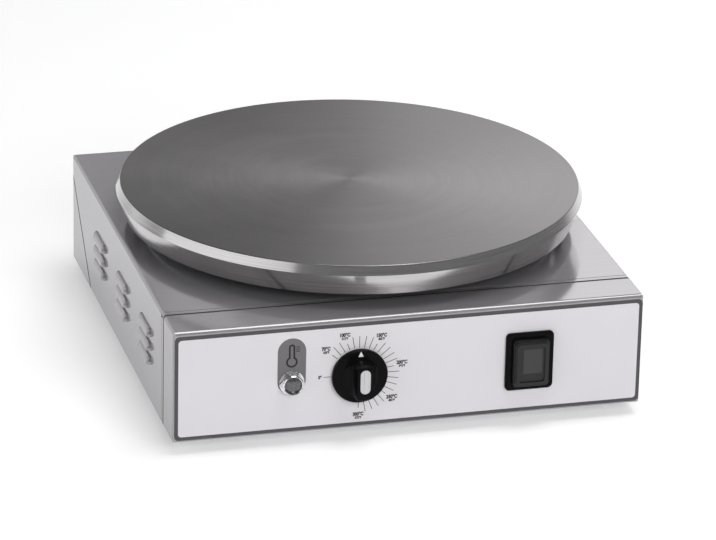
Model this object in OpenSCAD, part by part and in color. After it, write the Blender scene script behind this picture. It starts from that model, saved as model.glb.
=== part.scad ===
// Electric crepe maker: a ground iron cooking plate carried by four studs over a folded
// steel casing, with a thermostat knob, a pilot lamp and a covered rocker switch in front.
// Millimetres. +Z is up, the controls face -Y, and the feet stand on z = 0.
// The origin is under the middle of the casing.

/* [Casing] */
// Width of the casing, side to side
body_w = 400; // [380:1:460]
// Depth of the casing, front face to rear face
body_d = 415; // [400:1:470]
// Height of the casing, without the feet
body_h = 97; // [94:1:130]
// Thickness of the folded steel sheet
sheet = 1.5; // [1:0.1:2]
// Outer radius of the folds
fold_r = 3; // [2.4:0.1:5]
// Depth of the flanges folded back from the front panel
front_flange = 44; // [36:1:60]
// Height of the lip that the shell turns down over the rear panel
rear_lip = 17; // [14:1:30]
// Depth of the rear panel's slanted flanges at the bottom edge
rear_flange = 80; // [40:1:100]
// Width of the flanges turned in along the bottom edge
bottom_flange = 14; // [12:1:20]
// Open seam between neighbouring sheets
seam = 0.8; // [0.2:0.1:1]
// Reach of the joggled strip behind each seam
seam_strip = 12; // [8:1:18]
// Diameter of the relief hole where two folds and a seam meet
corner_relief = 5; // [3:0.5:6]

/* [Louvres] */
// Length of one pressed louvre
louvre_len = 40; // [30:1:50]
// Height of one pressed louvre
louvre_h = 7.5; // [6:0.5:10]
// How far a louvre stands out from the side
louvre_out = 3.5; // [2.5:0.1:5]
// Louvres in one group
louvre_rows = 3; // [1:1:4]
// Vertical spacing of the louvres
louvre_pitch = 12.5; // [11:0.5:18]
// Groups of louvres on each side
louvre_groups = 3; // [1:1:3]
// Spacing of the groups along the side
louvre_group_pitch = 93; // [60:1:100]
// Place of the middle group, back from the casing's centre
louvre_y = -8; // [-20:1:10]
// Height of the lowest louvre's edge over the casing's bottom
louvre_z = 32.5; // [20:0.5:34]

/* [Cooking plate] */
// Diameter of the plate at its widest edge
plate_d = 400; // [396:1:440]
// Height of the plate's rim, top face to lower edge
plate_rim = 27.5; // [24:0.5:36]
// Thickness of the plate inside the rim
plate_t = 13; // [11:0.5:16]
// Height of the bright bevel under the top face
bevel_h = 8; // [4:0.5:12]
// How far the bevel leans in at the top face
bevel_in = 3.6; // [1:0.1:8]
// How far the rim leans in below its widest edge
rim_in = 8.3; // [3:0.1:12]
// Thickness of the rim at its lower edge
rim_wall = 8; // [5:0.5:10]
// Rounding of the top face's edge
edge_r = 1.2; // [0.6:0.1:2]
// Open gap between the casing's top and the rim's lower edge
plate_gap = 12.5; // [11.5:0.5:16]

/* [Heating] */
// Diameter of the tubular heating elements
element_d = 8; // [6.5:0.5:8.5]
// Spacing of the outer element's two loops
outer_step = 40; // [36:1:44]
// Spacing of the inner element's loops, and of the two elements
inner_step = 32; // [28:1:34]
// Thickness of the disc that presses the elements to the plate
clamp_t = 2; // [1.5:0.5:3]
// Thickness of the ceramic fibre pad
pad_t = 8; // [5:0.5:9]
// Thickness of the heat shield's sheet
shield_t = 1.2; // [0.8:0.1:1.5]
// Free ring between the heat shield and the inside of the plate's rim
shield_gap = 7.7; // [5:0.1:8.5]
// Diameter of the thermostat's bulb
bulb_d = 6; // [4:0.5:7]
// Length of the thermostat's bulb
bulb_len = 60; // [40:1:64]
// Diameter of the capillary tube
capillary_d = 1.8; // [1.2:0.1:2.4]

/* [Plate support] */
// Diameter of the studs
stud_d = 8; // [6:1:8]
// Diameter of the bosses under the plate
boss_d = 18; // [15:1:20]
// Outer diameter of the distance sleeves
sleeve_d = 16; // [13:1:18]
// Width of the rails that carry the plate's studs
rail_w = 40; // [36:1:50]
// Height of the rails
rail_h = 20; // [15:1:25]
// Thickness of the rails' sheet
rail_t = 2; // [1.5:0.5:3]

/* [Control panel] */
// Steel left bare at each side of the label film
label_side = 1; // [1:0.5:10]
// Steel left bare over the label film
label_top = 3.8; // [3.8:0.1:12]
// Thickness of the label film
label_t = 0.4; // [0.2:0.1:0.8]
// Corner radius of the label film
label_r = 4; // [2:0.5:8]
// Height of the label's lower edge over the casing's bottom
label_z = 1.2; // [0.8:0.1:2]
// Height of the controls' centre line over the casing's bottom
control_z = 47; // [42:1:48]
// Place of the pilot lamp, from the casing's centre line
lamp_x = -101; // [-130:1:-90]
// Place of the thermostat knob, from the casing's centre line
knob_x = -44; // [-50:1:-30]
// Place of the switch, from the casing's centre line
switch_x = 101.5; // [70:0.5:140]

/* [Knob] */
// Diameter of the knob's skirt
knob_d = 47; // [44:0.5:54]
// Depth of the skirt
skirt_h = 5; // [4.5:0.5:8]
// Reach of the knob in front of the casing
knob_reach = 22; // [19:0.5:28]
// Diameter of the grip
grip_d = 32; // [28:0.5:36]
// Width of the wing left between the finger scoops
wing_w = 13.5; // [13:0.5:18]
// Radius of the finger scoops
scoop_r = 18; // [16:0.5:24]
// Width of the bright inlay on the wing
inlay_w = 8.5; // [6:0.5:10]
// Length of the bright inlay
inlay_len = 21; // [14:0.5:22]
// Side of the pointer triangle on the skirt
pointer_side = 4.6; // [3:0.1:5]
// Diameter of the thermostat's shaft
shaft_d = 6; // [5:0.5:6.5]

/* [Pilot lamp] */
// Diameter of the lamp's flange
lamp_flange_d = 21; // [20:0.5:24]
// Width across the flats of the lamp's hexagon
lamp_hex = 18.5; // [17.5:0.5:19]
// Reach of the lamp in front of the casing
lamp_reach = 8.5; // [7:0.5:12]
// Diameter of the lamp's threaded barrel
lamp_barrel_d = 14; // [12:0.5:14.5]

/* [Switch] */
// Width of the switch frame
frame_w = 41; // [39:0.5:48]
// Height of the switch frame
frame_h = 51; // [49:0.5:58]
// Thickness of the switch frame
frame_t = 3.6; // [3:0.2:5]
// Corner radius of the switch frame
frame_r = 4; // [3:0.5:8]
// Width of the splash boot
boot_w = 30.5; // [29:0.5:32]
// Height of the splash boot
boot_h = 41; // [39:0.5:42]
// Width of the rocker
rocker_w = 15.2; // [12:0.2:15.6]
// Radius from the rocker's pivot to its ends
rocker_r = 13.5; // [11.5:0.5:13.5]
// Tilt of the rocker to each side
rocker_tilt = 7; // [4:0.5:7]

/* [Rear gland] */
// Place of the gland, in from the casing's side
gland_in = 70; // [60:1:110]
// Height of the gland over the casing's bottom
gland_z = 34; // [28:1:44]
// Width across the flats of the gland's hexagon
gland_hex = 24; // [20:0.5:28]
// Diameter of the hole for the lead
gland_bore_d = 9; // [6:0.5:11]
// Reach of the gland behind the casing
gland_reach = 22; // [18:0.5:30]

/* [Base] */
// Height of the feet under the casing
foot_h = 12; // [10:0.5:20]
// Diameter of the feet where they stand
foot_d = 30; // [24:1:36]
// Place of the feet, in from the casing's sides
foot_in_x = 45; // [35:1:70]
// Place of the feet, in from the casing's front and rear
foot_in_y = 47.5; // [42.5:1:67.5]
// Thickness of the base plate
base_t = 1.2; // [0.8:0.1:2]
// Length of one vent slot in the base plate
vent_len = 60; // [30:1:80]
// Width of one vent slot
vent_w = 5; // [3:0.5:7]
// Vent slots in one field
vent_count = 9; // [3:1:10]

/* [Hidden] */

$fn = 96;
eps = 0.01;
// Free space between a fixed piece and what it is fitted into
fit = 0.1;
// Free space round a turning shaft or pin
run = 0.05;

z0 = foot_h;
z1 = z0 + body_h;
front_y = -body_d / 2;
rear_y = body_d / 2;
seam_y = front_y + front_flange;
slant_z = z1 - rear_lip;
slant_y = rear_y - rear_flange;

rim_z = z1 + plate_gap;
plate_z = rim_z + plate_rim;
under_z = plate_z - plate_t;
tube_r = element_d / 2;
tube_z = under_z - tube_r - fit;
clamp_top = tube_z - tube_r - fit / 2;
clamp_bottom = clamp_top - clamp_t;
pad_bottom = clamp_bottom - pad_t;
shield_bottom = pad_bottom - shield_t;
// Radii of the stack under the plate, from the rim inwards
shield_r = plate_d / 2 - rim_in - rim_wall - shield_gap;
clamp_r = shield_r - shield_t - 1.8;
outer_loops = [clamp_r - 5, clamp_r - 5 - outer_step];
inner_loops = [outer_loops[1] - inner_step, outer_loops[1] - 2 * inner_step];
between_r = (outer_loops[1] + inner_loops[0]) / 2;
stud_xy = between_r / sqrt(2);
top_opening_r = outer_loops[1] + 7;
rail_z = z1 - sheet - rail_t;

// Bends and ends of the elements
leg_radius = 10;
entry_radius = 12;
// Directions, as cosine and sine, in which the loops start and end
loop_start = [-0.28, 0.96];
second_start = [-0.352, 0.936];
loop_end = [0.28, 0.96];
leg_end = z1 - 14;
tag_len = 10;
// Where the capillary goes down through the clamp, the pad and the shield
capillary_radius = 6;
capillary_x = bulb_len / 2 + 2 * capillary_radius;
bulb_y = -between_r;

label_w = body_w - 2 * label_side;
label_h = body_h - label_z - label_top;
foot_x = body_w / 2 - foot_in_x;
foot_y = body_d / 2 - foot_in_y;
gland_x = body_w / 2 - gland_in;
// Longer than anything that a cut goes through
through = 3 * plate_z;

// Screws, as radius and height of the head, and the shanks' radius
case_head = [3.6, 2.2];
foot_head = [4.2, 2.6];
shank_r = 2.1;
screw_end = 5;
rear_screw_len = 9;
// Foot's recess for its screw, as radius and depth, and its nut, as flats and height
foot_recess = [6, 5];
foot_nut = [7, 3.2];

knob_z = z0 + control_z;
panel_screw_x = 14;
shaft_in = 15.5;
base_screw_x = body_w / 2 - bottom_flange / 2;
base_screw_y = body_d / 2 - bottom_flange / 2;
side_screw_ys = [-0.24 * body_d, 0.145 * body_d];
end_screw_xs = [-0.3 * body_w, 0.3 * body_w];
rear_screw_xs = [50 - body_w / 2, 0, body_w / 2 - 50];
rear_screw_z = z1 - rear_lip / 2 - 1;

steel = "#b9bbbd";
zinc = "#a9adb0";
iron = "#6d6f71";
black = "#1b1b1d";

// ---------------------------------------------------------------- shared shapes

// Rectangle with round corners, centred
module round_rect(w, h, r) {
    square([w - 2 * r, h], center = true);
    square([w, h - 2 * r], center = true);
    for (x = [-1, 1], y = [-1, 1])
        translate([x * (w / 2 - r), y * (h / 2 - r)]) circle(r);
}

// Slot with round ends along the first axis, centred
module slot(len, w) {
    square([len - w, w], center = true);
    for (x = [-1, 1]) translate([x * (len - w) / 2, 0]) circle(w / 2);
}

// Carries an outline drawn as (y, z) across the width
module across(w) {
    rotate([90, 0, 90]) linear_extrude(w, center = true) children();
}

// Local z runs out of the front face, local y runs up
module on_front(x, z) {
    translate([x, front_y, z]) rotate([90, 0, 0]) children();
}

// Local z runs out of the rear face, local y runs up
module on_rear(x, z) {
    translate([x, rear_y, z]) rotate([90, 0, 180]) children();
}

// One copy over each stud
module at_studs() {
    for (x = [-1, 1], y = [-1, 1]) translate([x * stud_xy, y * stud_xy, 0]) children();
}

// One copy over each foot
module at_feet() {
    for (x = [-1, 1], y = [-1, 1]) translate([x * foot_x, y * foot_y, 0]) children();
}

module ring(r_out, r_in, h) {
    difference() {
        cylinder(r = r_out, h = h);
        translate([0, 0, -1]) cylinder(r = r_in, h = h + 2);
    }
}

module hexagon(flats, h) {
    cylinder(d = flats / cos(30), h = h, $fn = 6);
}

// Nut with the corners of its outer face turned off
module nut(flats, bore_r, h) {
    difference() {
        intersection() {
            hexagon(flats, h);
            cylinder(r1 = flats / 2 / cos(30) + 0.6 * h, r2 = flats / 2, h = h);
        }
        translate([0, 0, -1]) cylinder(r = bore_r, h = h + 2);
    }
}

// Pan head screw: the head stands on z = 0 and the shank goes down
module screw(head_r, head_h, shank_r, len) {
    rotate_extrude() polygon([
        [0, -len], [shank_r, -len], [shank_r, 0], [head_r, 0], [head_r, 0.45 * head_h],
        [0.82 * head_r, 0.85 * head_h], [0.5 * head_r, head_h], [0, head_h]
    ]);
}

// ---------------------------------------------------------------- folded casing

// The casing's outer form, moved in by d and open below by drop
module envelope(d, drop) {
    w = body_w - 2 * d;
    l = body_d - 2 * d;
    r = max(fold_r - d, 0.4);
    tall = 2 * body_h;
    intersection() {
        translate([0, 0, z0 - drop]) linear_extrude(body_h - d + drop) round_rect(w, l, r);
        translate([0, 0, z1 - d - tall / 2]) rotate([90, 0, 0])
            linear_extrude(l, center = true) round_rect(w, tall, r);
        translate([0, 0, z1 - d - tall / 2]) across(w) round_rect(l, tall, r);
    }
}

// Sheet skin between two depths under the casing's outer face
module skin(outer, inner) {
    difference() {
        envelope(outer, 0);
        envelope(inner, 1);
    }
}

// The whole folded box with its flanges turned in at the bottom
module folded_box() {
    skin(0, sheet);
    translate([0, 0, z0]) linear_extrude(sheet) difference() {
        round_rect(body_w, body_d, fold_r);
        square([body_w - 2 * bottom_flange, body_d - 2 * bottom_flange], center = true);
    }
}

// Side view, as (y, z), of what the rear panel covers, moved out by grow
module rear_region(grow) {
    slope = atan2(slant_z - z0, rear_flange);
    run_out = grow / sin(slope);
    up = slant_z + grow;
    reach_y = rear_y + 5;
    low = z0 - 5;
    polygon([
        [slant_y - run_out - (z0 - low) / tan(slope), low],
        [slant_y - run_out + (up - z0) / tan(slope), up],
        [reach_y, up],
        [reach_y, low]
    ]);
}

// One louvre's hood with its domed ends, moved in by d; its mouth looks down
module louvre_form(d) {
    steps = 5;
    out = louvre_out - d;
    top = louvre_h - d;
    base = d > 0 ? -1 : 0;
    behind = sheet + 0.5 * min(d, 1);
    straight = louvre_len - 2 * louvre_out;
    arc = [for (i = [0:steps]) let (a = 90 * i / steps) [out * cos(a), top * sin(a)]];
    rotate([90, 0, 0]) linear_extrude(straight, center = true)
        polygon(concat([[-behind, base], [out, base]], arc, [[-behind, top]]));
    intersection() {
        for (y = [-1, 1]) translate([0, y * straight / 2, 0])
            rotate_extrude() polygon(concat([[0, base], [out, base]], arc));
        translate([-behind, -louvre_len, -2])
            cube([behind + 2 * louvre_out, 2 * louvre_len, louvre_h + 4]);
    }
}

// One copy at each louvre; local x runs out of the side
module at_louvres() {
    for (side = [0, 1], g = [0:louvre_groups - 1], row = [0:louvre_rows - 1]) {
        y = louvre_y + (g - (louvre_groups - 1) / 2) * louvre_group_pitch;
        mirror([side, 0, 0])
            translate([body_w / 2, y, z0 + louvre_z + row * louvre_pitch]) children();
    }
}

// Holes for the screws that come up through the bottom flanges
module base_screw_holes() {
    for (x = [-1, 1], y = side_screw_ys)
        translate([x * base_screw_x, y, z0 - 1]) cylinder(r = shank_r + fit, h = base_t + 4 * sheet);
    for (x = end_screw_xs, y = [-1, 1])
        translate([x, y * base_screw_y, z0 - 1]) cylinder(r = shank_r + fit, h = base_t + 4 * sheet);
}

module rear_screw_holes(depth) {
    for (x = rear_screw_xs)
        on_rear(x, rear_screw_z) translate([0, 0, -depth]) cylinder(r = shank_r + fit, h = depth + 1);
}

module shell() {
    color(steel) difference() {
        union() {
            difference() {
                folded_box();
                translate([-body_w, front_y - 1, 0])
                    cube([2 * body_w, front_flange + 1 + seam / 2, 2 * z1]);
                across(2 * body_w) rear_region(seam / 2);
            }
            // Joggled strip that the front panel's flanges slide over
            intersection() {
                skin(sheet, 2 * sheet);
                translate([-body_w, seam_y + seam / 2, z0 + sheet])
                    cube([2 * body_w, seam_strip / 2, 2 * z1]);
            }
            intersection() {
                skin(sheet + fit, 2 * sheet);
                translate([-body_w, seam_y - seam_strip, z0 + sheet])
                    cube([2 * body_w, seam_strip + 1.5, 2 * z1]);
            }
            at_louvres() louvre_form(0);
        }
        at_louvres() louvre_form(sheet);
        translate([0, 0, z1 - 2 * sheet]) cylinder(r = top_opening_r, h = 3 * sheet, $fn = 180);
        base_screw_holes();
        rear_screw_holes(4 * sheet);
        for (x = [-1, 1]) translate([x * body_w / 2, seam_y, z1])
            cylinder(d = corner_relief, h = 6 * sheet, center = true);
    }
}

module front_panel() {
    color(steel) difference() {
        intersection() {
            folded_box();
            translate([-body_w, front_y - 1, 0])
                cube([2 * body_w, front_flange + 1 - seam / 2, 2 * z1]);
        }
        base_screw_holes();
        for (x = [-1, 1]) translate([x * body_w / 2, seam_y, z1])
            cylinder(d = corner_relief, h = 6 * sheet, center = true);
        panel_cut_outs();
    }
}

// What the lamp, the thermostat and the switch need in the panel and in its label
module panel_cut_outs() {
    on_front(lamp_x, knob_z - 2) translate([0, 0, -5])
        cylinder(d = lamp_barrel_d + 2 * fit, h = 10);
    on_front(knob_x, knob_z) translate([0, 0, -5]) {
        cylinder(r = shaft_d / 2 + 2.4, h = 10);
        for (x = [-1, 1]) translate([x * panel_screw_x, 0, 0]) cylinder(r = 2.1, h = 10);
    }
    on_front(switch_x, knob_z) translate([0, 0, -5])
        linear_extrude(10) square([switch_w + 4 * fit, switch_len + 4 * fit], center = true);
}

module rear_panel() {
    color(steel) difference() {
        union() {
            intersection() {
                folded_box();
                across(2 * body_w) rear_region(-seam / 2);
            }
            // Joggled strip behind the slanted seams and behind the lip
            intersection() {
                skin(sheet, 2 * sheet);
                rear_strip(-seam / 2, -seam_strip / 2);
            }
            intersection() {
                skin(sheet + fit, 2 * sheet);
                rear_strip(seam_strip, -1.5);
            }
        }
        base_screw_holes();
        rear_screw_holes(4 * sheet);
        on_rear(gland_x, z0 + gland_z) translate([0, 0, -3]) cylinder(d = thread_d + 2 * fit, h = 6);
    }
}

// Band along the edge of the rear panel, above the bottom flange
module rear_strip(outer, inner) {
    difference() {
        across(2 * body_w) rear_region(outer);
        across(3 * body_w) rear_region(inner);
        translate([-body_w, -body_d, -body_h]) cube([2 * body_w, 2 * body_d, body_h + z0 + sheet]);
        translate([-body_w, slant_y - rear_flange, z1 - 2 * sheet - fit])
            cube([2 * body_w, 2 * body_d, body_h]);
    }
}

module base_plate() {
    w = body_w - 4 * sheet - 1.2;
    d = body_d - 4 * sheet - 1.2;
    color(zinc) difference() {
        translate([0, 0, z0 + sheet]) linear_extrude(base_t) difference() {
            round_rect(w, d, 4);
            for (side = [-1, 1], i = [0:vent_count - 1])
                translate([side * (vent_len / 2 + 18), (i - (vent_count - 1) / 2) * (vent_w + 9)])
                    slot(vent_len, vent_w);
        }
        base_screw_holes();
        at_feet() translate([0, 0, z0]) cylinder(r = shank_r + fit, h = base_t + 4 * sheet);
        translate([earth_at[0], earth_at[1], z0]) cylinder(r = 2.6, h = 10);
        for (x = [-1, 1]) translate([block_at[0] + x * block_screw, block_at[1], z0])
            cylinder(r = block_hole_r, h = 10);
    }
}

// Two open channels under the casing's top, which cross its opening and hold the studs
module support_rails() {
    len = body_d - front_flange - 2 * seam_strip - 12;
    mid = (front_flange - 12) / 2;
    color(zinc) difference() {
        for (x = [-1, 1]) translate([x * stud_xy, mid + len / 2, z1 - sheet - rail_h])
            rotate([90, 0, 0]) linear_extrude(len) difference() {
                round_rect(rail_w, 2 * rail_h, 2.5);
                round_rect(rail_w - 2 * rail_t, 2 * rail_h - 2 * rail_t, 0.8);
                translate([-rail_w, -2 * rail_h]) square([2 * rail_w, 2 * rail_h]);
            }
        at_studs() translate([0, 0, rail_z - 1]) cylinder(d = stud_d + 1, h = rail_t + 2);
    }
}

// ---------------------------------------------------------------- cooking plate

module cooking_plate() {
    r = plate_d / 2;
    top_r = r - bevel_in;
    low_r = r - rim_in;
    lean = atan2(bevel_in, bevel_h);
    steps = 5;
    // The edge turns from flat to the slope of the bevel on one radius
    edge = [for (i = [0:steps]) let (a = 90 - (90 - lean) * i / steps)
        [top_r - edge_r * tan((90 - lean) / 2) + edge_r * cos(a), plate_z - edge_r + edge_r * sin(a)]];
    color(iron) difference() {
        union() {
            rotate_extrude($fn = 180) polygon(concat(
                [[0, plate_z]], edge, [
                [r, plate_z - bevel_h],
                [low_r + 1, rim_z + 0.5],
                [low_r, rim_z],
                [low_r - rim_wall + 1, rim_z],
                [low_r - rim_wall, rim_z + 1],
                [low_r - rim_wall - 1, under_z - 4],
                [low_r - rim_wall - 5, under_z],
                [0, under_z]
            ]));
            at_studs() translate([0, 0, clamp_top]) cylinder(d = boss_d, h = under_z - clamp_top + 1);
        }
        at_studs() translate([0, 0, clamp_top - 1])
            cylinder(r = stud_d / 2 + run, h = stud_top - clamp_top + 1 + fit);
    }
}

// Elbow of a tube: starts at the origin along +y and turns to +x on the bend radius
module elbow(bend, r, angle = 90) {
    translate([bend, 0, 0]) rotate([0, 0, 180 - angle])
        rotate_extrude(angle = angle) translate([bend, 0]) circle(r, $fn = 32);
}

// Turns its child about the plate's axis to a direction given as cosine and sine
module turned(dir) {
    multmatrix([[dir[0], -dir[1], 0, 0], [dir[1], dir[0], 0, 0], [0, 0, 1, 0], [0, 0, 0, 1]]) children();
}

// Loop round the plate's centre, open between its start and its end
module loop_arc(radius, start) {
    difference() {
        rotate_extrude() translate([radius, 0]) circle(tube_r, $fn = 32);
        linear_extrude(4 * tube_r, center = true)
            polygon([[0, 0], 2 * radius * loop_end, 2 * radius * start]);
    }
}

// Places its child where a loop of the given radius starts: x out, y on along the tube
module at_loop_start(radius, start) {
    turned(start) translate([radius, 0, 0]) mirror([0, 1, 0]) children();
}

// Straight leg with its contact tag, going down from z = 0 to the legs' common end
module leg(depth) {
    translate([0, 0, -depth]) cylinder(r = tube_r, h = depth, $fn = 32);
    translate([0, 0, -depth - 3]) cylinder(r = tube_r - 0.8, h = 3, $fn = 32);
    translate([0, 0, -depth - tag_len]) cylinder(r = 1.4, h = tag_len, $fn = 32);
}

// The tube turns down out of the plane of the loops
module leg_down() {
    rotate([0, 90, 0]) elbow(leg_radius, tube_r);
    translate([0, leg_radius, -leg_radius]) leg(tube_z - leg_radius - leg_end);
}

// Half turn that joins the far ends of two loops
module return_bend(loops) {
    half = (loops[0] - loops[1]) / 2;
    turned(loop_end) translate([loops[1] + half, 0, 0])
        rotate_extrude(angle = 180) translate([half, 0]) circle(tube_r, $fn = 32);
}

// The outermost loop's end, after it has turned in towards the casing's opening
module at_entry() {
    at_loop_start(outer_loops[0], loop_start)
        translate([-entry_radius, entry_radius, 0]) rotate([0, 0, 90]) children();
}

entry_len = outer_loops[0] - entry_radius - top_opening_r;

// Where the outer element's two ends turn down
module at_outer_legs() {
    at_entry() translate([0, entry_len, 0]) children();
    at_loop_start(outer_loops[1], second_start) children();
}

// Where the inner element's two ends turn down
module at_inner_legs() {
    for (radius = inner_loops) at_loop_start(radius, loop_start) children();
}

module heating_element_outer() {
    color("#4a4340") translate([0, 0, tube_z]) {
        loop_arc(outer_loops[0], loop_start);
        loop_arc(outer_loops[1], second_start);
        return_bend(outer_loops);
        at_loop_start(outer_loops[0], loop_start) mirror([1, 0, 0]) elbow(entry_radius, tube_r);
        at_entry() rotate([-90, 0, 0]) cylinder(r = tube_r, h = entry_len, $fn = 32);
        at_outer_legs() leg_down();
    }
}

module heating_element_inner() {
    color("#4a4340") translate([0, 0, tube_z]) {
        for (radius = inner_loops) loop_arc(radius, loop_start);
        return_bend(inner_loops);
        at_inner_legs() leg_down();
    }
}

// Slot that lets a leg and its bend through
module leg_slot() {
    linear_extrude(through, center = true) translate([0, leg_radius / 2]) rotate(90)
        slot(leg_radius + element_d + 3, element_d + 3);
}

// Openings that the clamp, the pad and the shield share
module stack_holes(stud_hole) {
    at_studs() cylinder(d = stud_hole, h = through, center = true);
    translate([capillary_x, bulb_y, 0]) cylinder(d = capillary_d + 3, h = through, center = true);
    at_outer_legs() leg_slot();
    at_inner_legs() leg_slot();
}

// Pressing disc, lightened by a ring of holes between the two elements
module element_clamp() {
    hole_r = 10;
    color(zinc) difference() {
        translate([0, 0, clamp_bottom]) cylinder(r = clamp_r, h = clamp_t, $fn = 180);
        stack_holes(stud_d + 0.6);
        for (a = [120:30:420]) rotate([0, 0, a])
            translate([between_r, 0, 0]) cylinder(r = hole_r, h = through, center = true);
    }
}

module insulation_pad() {
    color("#d8d2c4") difference() {
        translate([0, 0, pad_bottom]) cylinder(r = clamp_r, h = pad_t, $fn = 180);
        stack_holes(sleeve_d + 2 * fit);
    }
}

module heat_shield() {
    color(zinc) difference() {
        translate([0, 0, shield_bottom]) union() {
            cylinder(r = shield_r - 1, h = shield_t, $fn = 180);
            difference() {
                translate([0, 0, 1]) cylinder(r = shield_r, h = pad_t, $fn = 180);
                translate([0, 0, shield_t]) cylinder(r = shield_r - shield_t, h = pad_t + 2, $fn = 180);
            }
            cylinder(r1 = shield_r - 1, r2 = shield_r, h = 1, $fn = 180);
        }
        stack_holes(stud_d + 0.6);
    }
}

// ---------------------------------------------------------------- plate support

stud_top = under_z + plate_t / 2;
stud_bottom = rail_z - 14;
washer_t = 1.6;
nut_h = 6.5;

module plate_studs() {
    color(zinc) at_studs() {
        translate([0, 0, stud_bottom + 1]) cylinder(d = stud_d, h = stud_top - stud_bottom - 1);
        translate([0, 0, stud_bottom]) cylinder(d1 = stud_d - 1.6, d2 = stud_d, h = 1);
    }
}

// Sleeves through the pad, so that the nuts don't crush it
module clamp_sleeves() {
    color(zinc) at_studs() translate([0, 0, pad_bottom])
        ring(sleeve_d / 2, stud_d / 2 + fit, pad_t);
}

// Sleeves that carry the plate's stack on the rails, inside the casing's opening
module support_sleeves() {
    rail_top = rail_z + rail_t;
    color(zinc) at_studs() translate([0, 0, rail_top])
        ring(sleeve_d / 2, stud_d / 2 + fit, shield_bottom - rail_top);
}

module stud_nuts() {
    color(zinc) at_studs() {
        translate([0, 0, rail_z - washer_t]) ring(stud_d, stud_d / 2 + fit, washer_t);
        translate([0, 0, rail_z - washer_t]) mirror([0, 0, 1])
            nut(1.6 * stud_d, stud_d / 2 + fit, nut_h);
    }
}

// ---------------------------------------------------------------- panel and lamp

module panel_label() {
    color("#dedde0") difference() {
        on_front(0, z0 + label_z + label_h / 2) linear_extrude(label_t)
            round_rect(label_w, label_h, label_r);
        panel_cut_outs();
    }
}

lamp_bore_r = lamp_barrel_d / 2 - 1.2;
lamp_back = 16;
lens_r = lamp_hex / 2 - 2;
lens_seat = 2.5;

// Flange, chamfered hexagon and collar on one threaded barrel
module lamp_bezel() {
    collar_r = lamp_hex / 2 - 0.5;
    hex_h = lamp_reach - label_t - 4;
    color("#d6d8da") on_front(lamp_x, knob_z - 2) difference() {
        union() {
            translate([0, 0, -lamp_back]) cylinder(d = lamp_barrel_d, h = lamp_back + 2);
            translate([0, 0, label_t]) cylinder(d = lamp_flange_d, h = 1.2);
            translate([0, 0, label_t + 1.2]) intersection() {
                hexagon(lamp_hex, hex_h);
                cylinder(r1 = lamp_hex / 2 + 3, r2 = lamp_hex / 2 + 0.2, h = hex_h);
            }
            translate([0, 0, label_t]) rotate_extrude() polygon([
                [0, 0], [collar_r, 0], [collar_r, lamp_reach - label_t - 1],
                [collar_r - 0.8, lamp_reach - label_t], [0, lamp_reach - label_t]
            ]);
        }
        translate([0, 0, -lamp_back - 1]) cylinder(r = lamp_bore_r, h = lamp_back + lamp_reach + 2);
        translate([0, 0, lens_seat]) cylinder(r = lens_r + run, h = lamp_reach);
        translate([0, 0, lamp_reach - 0.8]) cylinder(r1 = lens_r, r2 = collar_r - 0.5, h = 0.8 + eps);
    }
}

// Clear window with a domed face, seated in the bezel's bore
module lamp_lens() {
    dome_r = 16;
    sag = dome_r - sqrt(dome_r * dome_r - lens_r * lens_r);
    front = lamp_reach - 2.4;
    color([0.35, 0.35, 0.37, 0.6]) on_front(lamp_x, knob_z - 2) intersection() {
        translate([0, 0, lens_seat]) cylinder(r = lens_r, h = lamp_reach);
        translate([0, 0, front + sag - dome_r]) sphere(dome_r);
    }
}

// Lamp holder pushed into the barrel, with two blades
module lamp_body() {
    color("#e4e2da") on_front(lamp_x, knob_z - 2) {
        translate([0, 0, -lamp_back - 6]) cylinder(r = lamp_bore_r - run, h = lamp_back + 6 + lens_seat);
        translate([0, 0, -lamp_back - 8]) cylinder(r = lamp_barrel_d / 2 + 0.5, h = 8);
        for (x = [-1, 1]) translate([x * 3.2 - 0.4, -2.4, -lamp_back - 16]) cube([0.8, 4.8, 9]);
    }
}

module lamp_nut() {
    color(zinc) on_front(lamp_x, knob_z - 2) translate([0, 0, -sheet - 3.5])
        nut(lamp_barrel_d + 5, lamp_barrel_d / 2 + fit, 3.5);
}

// ---------------------------------------------------------------- knob and thermostat

knob_back = label_t + 0.4;
skirt_top = knob_back + skirt_h;
recess_h = 3;
shaft_tip = knob_reach - 5;
inlay_up = 2;
inlay_sunk = 0.8;
pointer_sunk = 0.5;
pointer_out = knob_d / 2 - 1;

// D-shaped section of the shaft, grown by the fit
module d_section(grow) {
    difference() {
        circle(shaft_d / 2 + grow, $fn = 48);
        translate([-shaft_d, shaft_d / 2 - 1.2 + grow]) square([2 * shaft_d, shaft_d]);
    }
}

module pointer_outline() {
    polygon([
        [0, pointer_out],
        [-pointer_side / 2, pointer_out - pointer_side],
        [pointer_side / 2, pointer_out - pointer_side]
    ]);
}

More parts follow.
